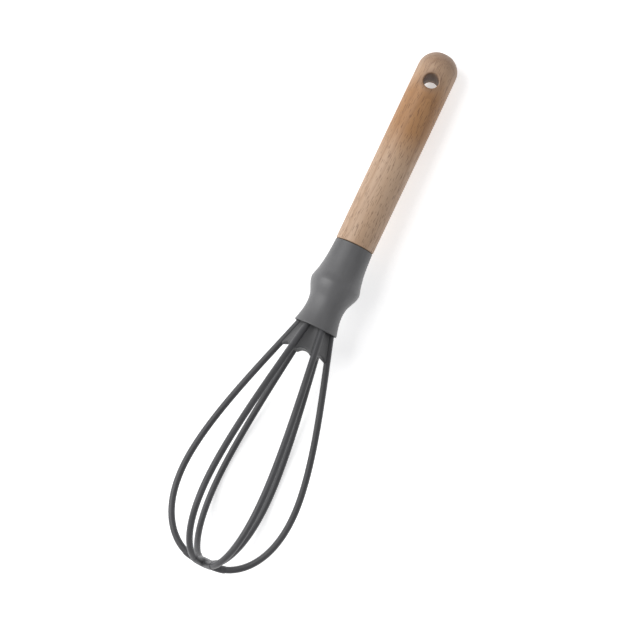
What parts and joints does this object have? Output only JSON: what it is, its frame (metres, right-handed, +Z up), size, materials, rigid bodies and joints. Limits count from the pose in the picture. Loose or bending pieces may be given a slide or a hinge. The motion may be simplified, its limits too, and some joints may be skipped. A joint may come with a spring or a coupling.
{
  "type": "balloon whisk",
  "caption": "Balloon whisk for hand mixing, with silicone-coated steel wire loops, a bulged grey collar and a turned wooden handle that has a hang hole.",
  "frame": {"origin": "centre of the bounding box on the surface that the whisk lies on", "axes": "+X from the foot of the wire cage towards the tip of the handle, along the table, +Z up. The whisk lies at rest on two coated wires and the tip end of its handle, so its own axis slopes down by 4.4 degrees towards the tip"},
  "size_m": [0.2896, 0.0648, 0.0581],
  "materials": {
    "beech": "oiled, satin",
    "grey_collar": "matt moulded silicone",
    "grey_plug": "matt",
    "grey_silicone": "matt moulded silicone",
    "steel_wire": "drawn wire",
    "nylon": "moulded",
    "steel_fittings": "turned"
  },
  "bodies": {
    "root": {"handle": "beech", "collar": "grey_collar", "neck_plug": "grey_plug", "crossing_hub": "grey_silicone", "wire_sleeve_1": "grey_silicone", "wire_sleeve_2": "grey_silicone", "wire_sleeve_3": "grey_silicone", "wire_sleeve_4": "grey_silicone", "wire_sleeve_5": "grey_silicone", "wire_sleeve_6": "grey_silicone", "core_wire_1": "steel_wire", "core_wire_2": "steel_wire", "core_wire_3": "steel_wire", "wire_holder": "nylon", "clamp_ring": "steel_fittings", "tang": "steel_fittings"}
  },
  "joints": []
}
